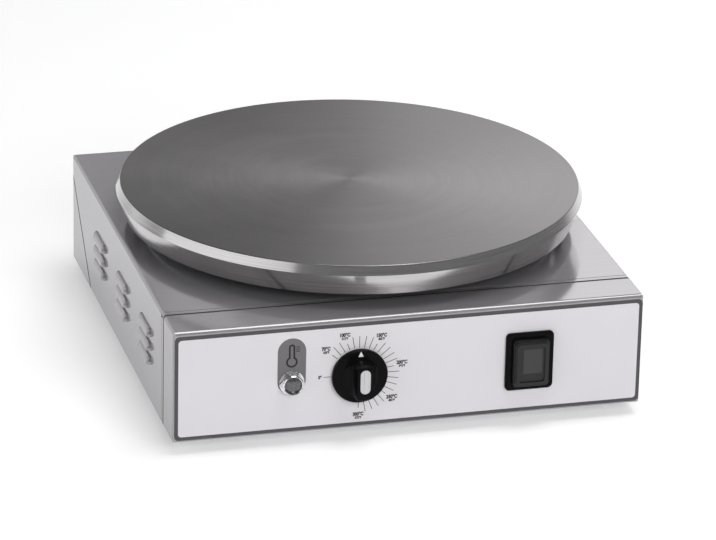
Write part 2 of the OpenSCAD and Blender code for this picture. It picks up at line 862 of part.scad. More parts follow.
// Skirted knob: a turned grip with a scoop on each side, which leave a wing
module control_knob() {
    r = knob_d / 2;
    grip_r = grip_d / 2;
    round_r = 2;
    steps = 5;
    scoop_x = wing_w / 2 + scoop_r;
    crown = [for (i = [0:steps]) let (a = 90 * i / steps)
        [grip_r - 0.8 - round_r + round_r * cos(a), knob_reach - round_r + round_r * sin(a)]];
    color(black) on_front(knob_x, knob_z) difference() {
        union() {
            rotate_extrude() polygon([
                [0, knob_back], [r - 0.8, knob_back], [r, knob_back + 0.8], [r, skirt_top - 1.2],
                [r - 0.5, skirt_top - 0.5], [r - 0.9, skirt_top], [0, skirt_top]
            ]);
            difference() {
                rotate_extrude() polygon(concat([[0, skirt_top - 1], [grip_r, skirt_top - 1]], crown,
                    [[0, knob_reach]]));
                for (x = [-1, 1]) translate([x * scoop_x, 0, knob_reach - 1.5])
                    rotate([90, 0, 0]) cylinder(r = scoop_r, h = 2 * grip_d, center = true);
            }
        }
        // Hollow back that clears the thermostat's screws, round the hub
        translate([0, 0, knob_back - 1]) ring(r - 3.5, shaft_d / 2 + 3, recess_h + 1);
        translate([0, 0, knob_back - 1]) linear_extrude(shaft_tip + fit - knob_back + 1) d_section(run);
        translate([0, inlay_up, knob_reach - inlay_sunk]) rotate([0, 0, 90]) linear_extrude(2)
            slot(inlay_len + 2 * run, inlay_w + 2 * run);
        translate([0, 0, skirt_top - pointer_sunk]) linear_extrude(2) pointer_outline();
    }
}

module knob_inlay() {
    color("#cfd1d3") on_front(knob_x, knob_z)
        translate([0, inlay_up, knob_reach - inlay_sunk]) rotate([0, 0, 90])
            linear_extrude(inlay_sunk) slot(inlay_len, inlay_w);
}

module knob_pointer() {
    color("white") on_front(knob_x, knob_z)
        translate([0, 0, skirt_top - pointer_sunk]) linear_extrude(pointer_sunk + 0.05) pointer_outline();
}

module thermostat_shaft() {
    color("#c9b27a") on_front(knob_x, knob_z) translate([0, 0, -shaft_in]) {
        cylinder(d = shaft_d, h = shaft_in + label_t);
        linear_extrude(shaft_in + shaft_tip) d_section(0);
    }
}

thermo_w = 38;
thermo_h = 32;
thermo_depth = 26;
thermo_plate = 1.2;

module thermostat_body() {
    blade = [0.8, 6.3, 8];
    color("#8d8f92") on_front(knob_x, knob_z) difference() {
        union() {
            translate([0, 0, -sheet - thermo_plate]) linear_extrude(thermo_plate)
                round_rect(thermo_w + 6, thermo_h + 2, 3);
            translate([0, 0, -sheet - thermo_plate - thermo_depth]) linear_extrude(thermo_depth)
                round_rect(thermo_w, thermo_h, 4);
            translate([0, 0, -sheet]) cylinder(r = shaft_d / 2 + 2, h = sheet + label_t);
            for (x = [-1, 1], y = [-1, 1])
                translate([x * 11 - blade[0] / 2, y * 8 - blade[1] / 2,
                    -sheet - thermo_plate - thermo_depth - blade[2]]) cube(blade + [0, 0, 1]);
        }
        translate([0, 0, -shaft_in - fit]) cylinder(r = shaft_d / 2 + run, h = 30);
        for (x = [-1, 1]) translate([x * panel_screw_x, 0, -8]) cylinder(r = 2.05, h = 20);
    }
}

module thermostat_screws() {
    color(zinc) on_front(knob_x, knob_z) for (x = [-1, 1])
        translate([x * panel_screw_x, 0, label_t]) screw(3.4, 1.9, 2, 8);
}

// Bulb against the plate, and its capillary down to the thermostat's housing
module thermostat_bulb() {
    b = capillary_radius;
    r = capillary_d / 2;
    bulb_z = under_z - bulb_d / 2 - fit;
    run_z = knob_z + thermo_h / 2 + 2 * b;
    body_y = front_y + sheet + thermo_plate + thermo_depth / 2;
    drop = bulb_z - b - (run_z + b);
    side = capillary_x - b - (knob_x + b);
    back = bulb_y - b - (body_y + b);
    color("#b87a4b") {
        translate([-bulb_len / 2, bulb_y, bulb_z]) rotate([0, 90, 0]) cylinder(d = bulb_d, h = bulb_len);
        translate([bulb_len / 2, bulb_y, bulb_z]) rotate([0, 90, 0]) {
            cylinder(r = r, h = b, $fn = 32);
            // Down, across, forwards and down again
            translate([0, 0, b]) rotate([90, 0, 0]) {
                elbow(b, r);
                translate([b, b, 0]) rotate([0, 90, 0]) cylinder(r = r, h = drop, $fn = 32);
                translate([b + drop, b, 0]) rotate([0, 0, -90]) {
                    elbow(b, r);
                    translate([b, b, 0]) rotate([0, 90, 0]) cylinder(r = r, h = side, $fn = 32);
                }
            }
        }
        translate([knob_x + b, bulb_y, run_z]) rotate([0, 0, 90]) mirror([1, 0, 0]) elbow(b, r);
        translate([knob_x, bulb_y - b, run_z]) rotate([90, 0, 0]) cylinder(r = r, h = back, $fn = 32);
        translate([knob_x, body_y + b, run_z]) rotate([0, 90, 0]) rotate([180, 0, 0]) elbow(b, r);
        translate([knob_x, body_y, run_z - 2 * b]) cylinder(r = r, h = b, $fn = 32);
    }
}

// Disc thermostat that hangs from the heat shield
module safety_cutout() {
    at = [0, -60];
    color("#8a5a3a") translate([at[0], at[1], shield_bottom]) mirror([0, 0, 1]) {
        cylinder(r = 8, h = 3);
        cylinder(r = 6.5, h = 11);
        linear_extrude(0.8) slot(32, 10);
        for (x = [-1, 1]) translate([x * 4 - 0.4, -3, 10]) cube([0.8, 6, 8]);
    }
}

// ---------------------------------------------------------------- switch

well_w = 16;
well_len = 2 * rocker_r + 0.8;
switch_w = well_w + 5;
switch_len = well_len + 2.4;
pivot_in = 0.5;
pin_r = 1.5;
switch_flange = 2;
switch_depth = 26;
rocker_face = 6;
boot_face = rocker_face + 4.4 - pivot_in;

module switch_frame() {
    color(black) on_front(switch_x, knob_z) translate([0, 0, label_t]) difference() {
        union() {
            linear_extrude(frame_t - 1.2) round_rect(frame_w, frame_h, frame_r);
            linear_extrude(frame_t) round_rect(frame_w - 2, frame_h - 2, frame_r - 1);
        }
        translate([0, 0, -1]) linear_extrude(frame_t + 2)
            round_rect(boot_w + 2 * fit, boot_h + 2 * fit, 3);
        // Step that holds the boot's flange down
        translate([0, 0, -1]) linear_extrude(1 + 1.2)
            round_rect(boot_w + 3.4, boot_h + 3.4, 3);
    }
}

// Splash boot: flange, raised wall and a sunk membrane over the rocker
module switch_boot() {
    rim_h = boot_face - label_t + 1.6;
    color([0.16, 0.16, 0.17, 0.8]) on_front(switch_x, knob_z) translate([0, 0, label_t])
        difference() {
            union() {
                linear_extrude(1.1) round_rect(boot_w + 3, boot_h + 3, 2.8);
                linear_extrude(rim_h - 3) round_rect(boot_w, boot_h, 3);
                linear_extrude(rim_h - 1) round_rect(boot_w - 2, boot_h - 2, 3);
                linear_extrude(rim_h) round_rect(boot_w - 4, boot_h - 4, 3);
            }
            translate([0, 0, rim_h - 1.4]) linear_extrude(3) round_rect(boot_w - 8.8, boot_h - 9.5, 2.4);
            translate([0, 0, -1]) linear_extrude(1 + switch_flange + 0.4)
                square([well_w + 9.6, well_len + 6.2], center = true);
            translate([0, 0, -1]) linear_extrude(1 + boot_face - label_t - 1)
                square([well_w + 1, well_len + 0.6], center = true);
        }
}

// Rocker on two pins; it rests with its upper half pressed in
module switch_rocker() {
    color("#3a3a3c") on_front(switch_x, knob_z) translate([0, 0, -pivot_in])
        rotate([-rocker_tilt, 0, 0]) {
            intersection() {
                rotate([0, 90, 0]) cylinder(r = rocker_r, h = rocker_w, center = true);
                rotate([90, 0, 90]) linear_extrude(rocker_w + 2, center = true) {
                    lift = rocker_r * tan(rocker_tilt);
                    polygon([
                        [-rocker_r, rocker_face + lift], [0, rocker_face], [rocker_r, rocker_face + lift],
                        [rocker_r, 1], [6, -4], [2.5, -7], [-2.5, -7], [-6, -4], [-rocker_r, 1]
                    ]);
                }
            }
            rotate([0, 90, 0]) cylinder(r = pin_r, h = well_w + 3, center = true, $fn = 48);
        }
}

module switch_body() {
    blade = [6.3, 0.8, 9];
    color(black) on_front(switch_x, knob_z) difference() {
        union() {
            translate([0, 0, label_t]) linear_extrude(switch_flange) round_rect(well_w + 9, well_len + 5.6, 1);
            translate([0, 0, -switch_depth]) linear_extrude(switch_depth + label_t + 1)
                square([switch_w, switch_len], center = true);
            for (x = [-1, 1], y = [-1, 1])
                translate([x * 5 - blade[0] / 2, y * 7 - blade[1] / 2, -switch_depth - blade[2]])
                    cube(blade + [0, 0, 1]);
        }
        translate([0, 0, -rocker_r]) linear_extrude(2 * rocker_r) square([well_w, well_len - 3], center = true);
        translate([0, 0, -pivot_in]) rotate([0, 90, 0])
            cylinder(r = rocker_r + 0.4, h = well_w, center = true);
        translate([0, 0, -pivot_in]) rotate([0, 90, 0])
            cylinder(r = pin_r + run, h = well_w + 3.2, center = true, $fn = 48);
    }
}

// ---------------------------------------------------------------- supply side

block_at = [gland_x - 20, rear_y - 79.5];
block_screw = 17;
block_hole_r = 1.7;
earth_at = [gland_x - 70, rear_y - 87.5];
base_top = z0 + sheet + base_t;
thread_d = gland_hex - 6;

// Three-way terminal block with its wire entries and screw towers
module terminal_block() {
    pitch = 9;
    color("#e8e4d6") translate([block_at[0], block_at[1], base_top]) difference() {
        union() {
            translate([0, 0, 3]) cube([2 * block_screw + 8, 16, 6], center = true);
            for (i = [-1:1]) translate([i * pitch, 0, 0]) {
                translate([0, 0, 6]) cube([pitch - 1.6, 18, 12], center = true);
                translate([0, 0, 11]) cylinder(r = 3.2, h = 5);
            }
        }
        for (i = [-1:1]) translate([i * pitch, 0, 0]) {
            translate([0, 0, 5]) rotate([90, 0, 0]) cylinder(r = 2, h = 30, center = true, $fn = 32);
            translate([0, 0, 9]) cylinder(r = 2.2, h = 10, $fn = 32);
        }
        for (x = [-1, 1]) translate([x * block_screw, 0, -1]) cylinder(r = block_hole_r, h = 10);
    }
}

module block_screws() {
    color(zinc) for (x = [-1, 1]) translate([block_at[0] + x * block_screw, block_at[1], base_top + 6])
        screw(3, 2, 1.6, 11);
}

module earth_stud() {
    color("#c7a04e") translate([earth_at[0], earth_at[1], 0]) {
        translate([0, 0, z0 + sheet]) mirror([0, 0, 1]) hexagon(8, 1.4);
        translate([0, 0, z0 + sheet]) cylinder(r = 2.5, h = 18);
        translate([0, 0, base_top]) hexagon(8, 4);
    }
}

// Gland body with its hexagon, and the ribbed dome nut that grips the lead
module cable_gland() {
    hex_h = 6;
    dome = gland_reach - hex_h;
    color(black) on_rear(gland_x, z0 + gland_z) difference() {
        union() {
            translate([0, 0, -11]) cylinder(d = thread_d, h = 12);
            intersection() {
                hexagon(gland_hex, hex_h);
                cylinder(r1 = gland_hex, r2 = gland_hex / 2 + 0.6, h = hex_h);
            }
            translate([0, 0, hex_h]) rotate_extrude() polygon([
                [0, 0], [gland_hex / 2 - 0.6, 0], [gland_hex / 2 - 0.6, 0.5 * dome],
                [gland_hex / 2 - 2, 0.75 * dome], [gland_bore_d / 2 + 3, dome - 0.8],
                [gland_bore_d / 2 + 1.6, dome], [0, dome]
            ]);
            for (a = [0:30:330]) rotate([0, 0, a]) translate([gland_hex / 2 - 1.1, 0, hex_h - 0.5])
                cylinder(r = 0.9, h = 0.5 * dome, $fn = 24);
        }
        translate([0, 0, -12]) cylinder(d = gland_bore_d, h = gland_reach + 13);
    }
}

module gland_nut() {
    color(black) on_rear(gland_x, z0 + gland_z) translate([0, 0, -sheet]) mirror([0, 0, 1])
        nut(thread_d + 6, thread_d / 2 + fit, 5);
}

// ---------------------------------------------------------------- feet and screws

module feet() {
    r = foot_d / 2;
    top = z0 + sheet;
    color(black) at_feet() difference() {
        rotate_extrude() polygon([
            [0, 0], [r - 1.2, 0], [r, 1.2], [r, 3], [r - 2.5, top], [0, top]
        ]);
        translate([0, 0, -1]) cylinder(r = foot_recess[0], h = foot_recess[1] + 1);
        cylinder(r = shank_r + fit, h = 2 * top);
    }
}

module foot_screws() {
    color(zinc) at_feet() translate([0, 0, foot_recess[1]]) mirror([0, 0, 1])
        screw(foot_head[0], foot_head[1], shank_r, base_top + foot_nut[1] - 2);
}

module foot_nuts() {
    color(zinc) at_feet() translate([0, 0, base_top]) nut(foot_nut[0], shank_r + fit, foot_nut[1]);
}

module base_screws() {
    len = sheet + base_t + screw_end;
    color(zinc) {
        for (x = [-1, 1], y = side_screw_ys) translate([x * base_screw_x, y, z0])
            mirror([0, 0, 1]) screw(case_head[0], case_head[1], shank_r, len);
        for (x = end_screw_xs, y = [-1, 1]) translate([x, y * base_screw_y, z0])
            mirror([0, 0, 1]) screw(case_head[0], case_head[1], shank_r, len);
    }
}

module rear_screws() {
    color(zinc) for (x = rear_screw_xs) on_rear(x, rear_screw_z)
        screw(case_head[0], case_head[1], shank_r, rear_screw_len);
}

// ---------------------------------------------------------------- what is drawn

shell();
front_panel();
rear_panel();
base_plate();
support_rails();
cooking_plate();
heating_element_outer();
heating_element_inner();
element_clamp();
insulation_pad();
heat_shield();
plate_studs();
clamp_sleeves();
support_sleeves();
stud_nuts();
panel_label();
lamp_bezel();
lamp_lens();
lamp_body();
lamp_nut();
control_knob();
knob_inlay();
knob_pointer();
thermostat_shaft();
thermostat_body();
thermostat_screws();
thermostat_bulb();
safety_cutout();
switch_frame();
switch_boot();
switch_rocker();
switch_body();
terminal_block();
block_screws();
earth_stud();
cable_gland();
gland_nut();
feet();
foot_screws();
foot_nuts();
base_screws();
rear_screws();
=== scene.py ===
"""Looks of a countertop crepe maker: finishes, printed dial and studio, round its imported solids."""

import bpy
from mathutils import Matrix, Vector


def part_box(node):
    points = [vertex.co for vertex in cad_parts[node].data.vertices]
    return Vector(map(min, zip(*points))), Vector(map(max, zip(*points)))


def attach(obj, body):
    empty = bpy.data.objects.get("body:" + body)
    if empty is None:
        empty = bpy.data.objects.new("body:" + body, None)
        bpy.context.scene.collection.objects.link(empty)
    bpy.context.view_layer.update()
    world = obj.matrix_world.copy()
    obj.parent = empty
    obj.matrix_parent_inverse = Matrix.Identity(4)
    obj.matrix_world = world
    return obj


bl_info = {
    "name": "Crepe Maker Looks",
    "version": (1, 0, 0),
    "blender": (4, 5, 0),
    "location": "View3D > Sidebar > Crepe Maker",
    "description": "Finishes, printed panel marks and a plain studio for a countertop crepe maker",
    "category": "Object",
}

import math

import bmesh
import bpy
from bpy.props import FloatProperty, FloatVectorProperty, PointerProperty
from mathutils import Matrix, Vector

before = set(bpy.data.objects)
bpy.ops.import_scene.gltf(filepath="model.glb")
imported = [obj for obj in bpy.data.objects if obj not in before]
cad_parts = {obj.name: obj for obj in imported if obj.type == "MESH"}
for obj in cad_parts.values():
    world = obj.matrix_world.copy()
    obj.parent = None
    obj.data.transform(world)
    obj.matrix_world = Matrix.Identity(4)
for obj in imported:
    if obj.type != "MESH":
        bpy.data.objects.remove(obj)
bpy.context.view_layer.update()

MM = 0.001
PANEL_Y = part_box("panel_label")[0][1]
KNOB_LO, KNOB_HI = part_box("control_knob")
KNOB_X = (KNOB_LO[0] + KNOB_HI[0]) / 2
KNOB_Z = (KNOB_LO[2] + KNOB_HI[2]) / 2
LAMP_LO, LAMP_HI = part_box("lamp_bezel")
LAMP_X = (LAMP_LO[0] + LAMP_HI[0]) / 2
LAMP_Z = (LAMP_LO[2] + LAMP_HI[2]) / 2

# How far a print's face stands over the film, and how thick its ink is.
FIRST_PRINT = (0.06 * MM, 0.05 * MM)
NUMBER_PRINT = (0.07 * MM, 0.05 * MM)
SECOND_PRINT = (0.11 * MM, 0.04 * MM)

# The dial turns by one degree for each degree Celsius. TOP_VALUE stands at its top, the off mark
# stands OFF_TURN from there, and NUMBERED gives the values in Fahrenheit that are printed too.
OFF_TURN = math.radians(-90)
TOP_VALUE = 120
FIRST_VALUE, LAST_VALUE, VALUE_STEP = 70, 300, 10
NUMBERED = {70: 158, 100: 212, 150: 302, 200: 392, 250: 482, 300: 572}


# ------------------------------------------------------------------ settings


def colour(name, description, default):
    return FloatVectorProperty(
        name=name, description=description, default=default, subtype="COLOR", size=3, min=0, max=1
    )


def length(name, description, default):
    return FloatProperty(
        name=name, description=description, default=default, unit="LENGTH", min=0
    )


def angle(name, description, default):
    return FloatProperty(name=name, description=description, default=default, unit="ROTATION")


class MetalSettings(bpy.types.PropertyGroup):
    """Colours of the steel and iron pieces"""

    sheet: colour("Casing", "Colour of the brushed stainless sheet", (0.375, 0.362, 0.375))
    zinc: colour("Zinc", "Colour of the zinc plated sheet and screws", (0.56, 0.58, 0.60))
    iron: colour("Plate", "Colour of the ground iron plate", (0.19, 0.182, 0.182))
    rim: colour("Rim", "Colour of the plate's turned edge", (0.6, 0.59, 0.585))
    chrome: colour("Chrome", "Colour of the lamp's bezel", (0.72, 0.72, 0.74))
    inlay: colour("Inlay", "Colour of the knob's brushed inlay", (0.57, 0.57, 0.58))
    sheath: colour("Sheath", "Colour of the heating elements' tube", (0.10, 0.09, 0.085))
    brass: colour("Brass", "Colour of the shaft and the earth stud", (0.72, 0.55, 0.28))
    copper: colour("Copper", "Colour of the thermostat's bulb and capillary", (0.72, 0.38, 0.24))
    rear_lip: length("Rear lip", "Height of the shell's lip over the rear panel", 17 * MM)
    rear_flange: length("Rear flange", "Depth of the rear panel's slanted flanges", 80 * MM)
    # How far the painted shade beside each seam reaches.
    seam_shade: length("Painted seam shade", "How far the dark line reaches from a seam's middle", 2.0 * MM)


class PanelSettings(bpy.types.PropertyGroup):
    """Colours and sizes of the printed front film"""

    film: colour("Film", "Colour of the film", (0.735, 0.72, 0.745))
    edge: colour("Edge", "Colour of the band round the film", (0.06, 0.057, 0.062))
    field: colour("Field", "Colour of the printed field round the lamp", (0.155, 0.15, 0.157))
    ink: colour("Ink", "Colour of the printed marks", (0.012, 0.011, 0.012))
    band: length("Band", "Width of the dark band round the film", 3.1 * MM)
    field_width: length("Field width", "Width of the printed field", 23.4 * MM)
    field_height: length("Field height", "Height of the printed field", 49.4 * MM)
    field_rise: length("Field rise", "Height of the field's middle over the lamp", 14.2 * MM)
    field_rim: length("Field rim", "Width of the darker line round the field", 0.25 * MM)
    stroke: length("Stroke", "Width of the scale's lines", 0.5 * MM)
    ring_start: length("Scale start", "Where the lines start, from the knob's axis", 24.0 * MM)
    ring_short: length("Short line end", "Where a numbered line ends", 30.0 * MM)
    ring_long: length("Long line end", "Where a line with no number ends", 34.2 * MM)
    ring_off: length("Off number", "Distance of the off mark's number", 33.0 * MM)
    ring_number: length("Numbers", "Distance of the other numbers", 37.0 * MM)
    number_size: length("Number size", "Height of the large numbers' letters", 4.3 * MM)
    number_up: length("Number rise", "How far a large number is moved up", 1.3 * MM)
    small_size: length("Small number size", "Height of the small numbers' letters", 2.8 * MM)
    small_down: length("Small number drop", "How far a small number is moved down", 1.9 * MM)
    mark: length("Mark", "Width of the thermometer's outline", 1.5 * MM)
    mark_bulb: length("Mark's bulb", "Inner radius of the thermometer's bulb", 3.4 * MM)
    mark_stem: length("Mark's stem", "Inner radius of the thermometer's stem", 1.15 * MM)
    mark_low: length("Mark's foot", "Height of the bulb's middle over the lamp", 18.1 * MM)
    mark_top: length("Mark's top", "Height of the stem's inner end over the lamp", 32.3 * MM)
    tick_start: length("Tick start", "Where the mark's lines start, beside its middle", 3.5 * MM)
    tick_end: length("Tick end", "Where the mark's lines end", 6.6 * MM)
    tick_top: length("Tick height", "Height of the top line over the lamp", 31.2 * MM)
    tick_pitch: length("Tick pitch", "Distance from one of the mark's lines to the next", 1.9 * MM)


class PlasticSettings(bpy.types.PropertyGroup):
    """Colours of the plastic, rubber and ceramic pieces"""

    black: colour("Black", "Colour of the knob and the switch frame", (0.004, 0.0038, 0.0042))
    boot: colour("Boot", "Colour of the splash boot", (0.0095, 0.009, 0.01))
    rocker: colour("Rocker", "Colour of the rocker", (0.04, 0.038, 0.04))
    white: colour("White", "Colour of the pointer", (0.88, 0.88, 0.88))
    pale: colour("Pale", "Colour of the lamp holder and the terminal block", (0.76, 0.73, 0.64))
    rubber: colour("Rubber", "Colour of the feet", (0.02, 0.02, 0.021))
    fibre: colour("Fibre", "Colour of the ceramic fibre pad", (0.76, 0.72, 0.63))
    ceramic: colour("Ceramic", "Colour of the cut-out's housing", (0.26, 0.13, 0.07))
    lens: colour("Lens", "Colour of the smoked lens", (0.055, 0.052, 0.056))


class StudioSettings(bpy.types.PropertyGroup):
    """Camera, floor and lights"""

    floor: colour("Floor", "Colour of the floor", (0.78, 0.78, 0.785))
    glow: colour("Floor glow", "What the floor adds to its colour when seen", (0.34, 0.34, 0.34))
    focal: FloatProperty(
        name="Lens", description="Focal length on a 36 mm sensor", default=224.28, min=1
    )
    azimuth: angle("Azimuth", "Camera's turn from the front, to the left", math.radians(-15.19))
    elevation: angle("Elevation", "Camera's height over the floor", math.radians(22.38))
    roll: angle("Roll", "Camera's tilt about its own axis", math.radians(1.31))
    distance: length("Distance", "Camera's distance from its target", 3.8595)
    target: FloatVectorProperty(
        name="Target",
        description="Point the camera looks at",
        default=(0.009615, 0, 0.06323),
        unit="LENGTH",
    )


# ------------------------------------------------------------------ shader maths

# Sockets by their order: a Mix node's two colours and its result, the rays of a Light Path node,
# and the Object output of a Texture Coordinate node.
MIX_FIRST, MIX_SECOND, MIX_RESULT = 6, 7, 2
CAMERA_RAY, GLOSSY_RAY, THROUGH_RAY = 0, 3, 6
OBJECT_POINT = 3


class Field:
    """A socket whose number varies over the surface; Python's operators add Math nodes."""

    def __init__(self, graph, socket):
        self.graph = graph
        self.socket = socket

    def __add__(self, other):
        return self.graph.math("ADD", self, other)

    def __radd__(self, other):
        return self.graph.math("ADD", other, self)

    def __sub__(self, other):
        return self.graph.math("SUBTRACT", self, other)

    def __rsub__(self, other):
        return self.graph.math("SUBTRACT", other, self)

    def __mul__(self, other):
        return self.graph.math("MULTIPLY", self, other)

    def __rmul__(self, other):
        return self.graph.math("MULTIPLY", other, self)

    def __truediv__(self, other):
        return self.graph.math("DIVIDE", self, other)

    def __rtruediv__(self, other):
        return self.graph.math("DIVIDE", other, self)

    def __pow__(self, other):
        return self.graph.math("POWER", self, other)

    def __abs__(self):
        return self.graph.math("ABSOLUTE", self)

    def least(self, other):
        """The smaller of the two."""
        return self.graph.math("MINIMUM", self, other)

    def most(self, other):
        """The larger of the two."""
        return self.graph.math("MAXIMUM", self, other)

    def step(self, low, high):
        """Goes from 0 at low to 1 at high."""
        return self.graph.node(
            "ShaderNodeMapRange",
            {"interpolation_type": "SMOOTHSTEP"},
            {"Value": self, "From Min": low, "From Max": high},
        )


class Graph:
    """The nodes of one material or world, made from Python expressions."""

    def __init__(self, owner, shader, output):
        owner.use_nodes = True
        self.tree = owner.node_tree
        self.tree.nodes.clear()
        self.shader = self.tree.nodes.new(shader)
        end = self.tree.nodes.new(output)
        self.tree.links.new(self.shader.outputs[0], end.inputs["Surface"])

    def feed(self, socket, value):
        """Sets a socket of the shader, or links it to what varies."""
        self._give(self.shader.inputs[socket], value)

    def _give(self, target, value):
        """Links a socket to what varies, or sets it to a number, a vector or a colour."""
        if isinstance(value, Field):
            self.tree.links.new(value.socket, target)
        elif target.type == "RGBA":
            target.default_value = (*value, 1.0)
        else:
            target.default_value = value

    def node(self, kind, settings=None, inputs=None, output=0):
        """One node: its type, its settings, what its sockets get, and which output to use."""
        made = self.tree.nodes.new(kind)
        for key, value in (settings or {}).items():
            setattr(made, key, value)
        for key, value in (inputs or {}).items():
            self._give(made.inputs[key], value)
        return Field(self, made.outputs[output])

    def axes(self, vector):
        """The vector's x, y and z."""
        return [self.node("ShaderNodeSeparateXYZ", None, {0: vector}, i) for i in range(3)]

    def math(self, operation, *values):
        return self.node("ShaderNodeMath", {"operation": operation}, dict(enumerate(values)))

    def vector(self, operation, *values):
        return self.node("ShaderNodeVectorMath", {"operation": operation}, dict(enumerate(values)))

    def mix(self, mask, first, second):
        """Colour that goes from first, where the mask is 0, to second, where it is 1."""
        return self.node(
            "ShaderNodeMix",
            {"data_type": "RGBA"},
            {"Factor": mask, MIX_FIRST: first, MIX_SECOND: second},
            MIX_RESULT,
        )


class Finish(Graph):
    """One procedural material around a Principled shader."""

    def __init__(self, name, **constants):
        self.material = bpy.data.materials.new(name)
        super().__init__(self.material, "ShaderNodeBsdfPrincipled", "ShaderNodeOutputMaterial")
        for socket, value in constants.items():
            self.feed(socket.replace("_", " ").title().replace("Ior", "IOR"), value)

    def point(self):
        """Where the surface's point is on the object, as one vector in millimetres."""
        metres = self.node("ShaderNodeTexCoord", output=OBJECT_POINT)
        return self.node(
            "ShaderNodeVectorMath", {"operation": "SCALE"}, {0: metres, "Scale": 1 / MM}
        )

    def noise(self, vector, scale, detail=2.0, roughness=0.5):
        """A number from 0 to 1 that wanders over the surface."""
        return self.node(
            "ShaderNodeTexNoise",
            {"noise_dimensions": "3D"},
            {"Vector": vector, "Scale": scale, "Detail": detail, "Roughness": roughness},
        )

    def stretched(self, point, scales):
        """The point with each axis scaled by itself, for streaks."""
        return self.vector("MULTIPLY", point, Vector(scales))

    def joined(self, x, y, z):
        """One vector from three numbers."""
        return self.node("ShaderNodeCombineXYZ", None, {0: x, 1: y, 2: z})

    def bump(self, height, depth, strength=1.0, soft=0.0):
        """Feeds the shader's normal with a height field of the given depth in metres, over edges
        rounded by the soft radius."""
        inputs = {"Height": height, "Distance": depth, "Strength": strength}
        if soft:
            rounded = self.node("ShaderNodeBevel", {"samples": 6}, {"Radius": soft})
            inputs["Normal"] = rounded
        self.feed("Normal", self.node("ShaderNodeBump", None, inputs))


def scaled(shade, factor):
    """The colour made darker or lighter, up to white."""
    return tuple(min(1.0, c * factor) for c in shade)


def seen_directly(graph):
    """1 for what the camera sees, also in a mirror or through glass."""
    rays = (CAMERA_RAY, GLOSSY_RAY, THROUGH_RAY)
    camera, glossy, through = (graph.node("ShaderNodeLightPath", output=ray) for ray in rays)
    return camera.most(glossy).most(through)


def settings():
    """The settings of all the looks, as the scene holds them."""
    return bpy.context.scene.crepe_maker


def dress(node, finish):
    """Gives a solid of the frame its finish."""
    node_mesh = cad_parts[node].data
    node_mesh.materials.clear()
    node_mesh.materials.append(finish.material)


# ------------------------------------------------------------------ finishes


def seam_lines(axes, look):
    """1 along the casing's open seams, where their shade is painted: behind the front panel, and
    along the slanted flanges.
    """
    _, y, z = axes
    (lo, hi), front_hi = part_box("shell"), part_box("front_panel")[1]
    front_seam = (lo[1] + front_hi[1]) / 2 / MM
    rise = (hi[2] - lo[2] - look.rear_lip) / MM
    depth = look.rear_flange / MM
    slant = ((hi[1] / MM - y) * rise + (z - (lo[2] / MM + rise)) * depth) / math.hypot(rise, depth)
    near = abs(y - front_seam).least(abs(slant))
    return near.step(look.seam_shade / MM, 0.3 * look.seam_shade / MM)


def brushed_sheet(name, shade, roughness, along="x", metal=1.0, look=None):
    """Sheet with a fine straight brush, and painted shade along the seams where look gives their
    places.
    """
    finish = Finish(name, metallic=metal)
    point = finish.point()
    lanes = {"x": (0.02, 9.0, 9.0), "z": (9.0, 9.0, 0.02)}[along]
    broad = {"x": (0.004, 0.35, 0.35), "z": (0.35, 0.35, 0.004)}[along]
    fine = finish.noise(finish.stretched(point, lanes), 1.0, 3.0, 0.6)
    wide = finish.noise(finish.stretched(point, broad), 1.0, 2.0, 0.5)
    cloud = finish.noise(point, 0.012, 2.0, 0.5)
    tone = fine * 0.35 + wide * 0.35 + cloud * 0.3
    face = finish.mix(tone, scaled(shade, 0.82), scaled(shade, 1.12))
    rough = tone * 0.1 + (roughness - 0.05)
    if look:
        # Painted shade: beside each seam the sheet turns dark, matt and less metallic.
        seam_shade = seam_lines(finish.axes(point), look)
        face = finish.mix(seam_shade, face, scaled(shade, 0.05))
        rough = rough + seam_shade * 0.7
        finish.feed("Metallic", metal - seam_shade * metal)
    finish.feed("Base Color", face)
    finish.feed("Roughness", rough)
    finish.bump(fine, 0.003 * MM, 0.8)
    return finish


def zinc_plate(name, shade):
    """Zinc plated steel: a faint spangle and a satin face."""
    finish = Finish(name, metallic=1.0)
    point = finish.point()
    spangle = finish.node(
        "ShaderNodeTexVoronoi", {"feature": "F1"}, {"Vector": point, "Scale": 0.09}, 1
    )
    value = finish.node("ShaderNodeRGBToBW", None, {0: spangle})
    grain = finish.noise(point, 0.8, 3.0)
    tone = value * 0.4 + grain * 0.6
    finish.feed("Base Color", finish.mix(tone, scaled(shade, 0.8), scaled(shade, 1.08)))
    finish.feed("Roughness", tone * 0.18 + 0.27)
    finish.bump(grain, 0.01 * MM, 0.5)
    return finish


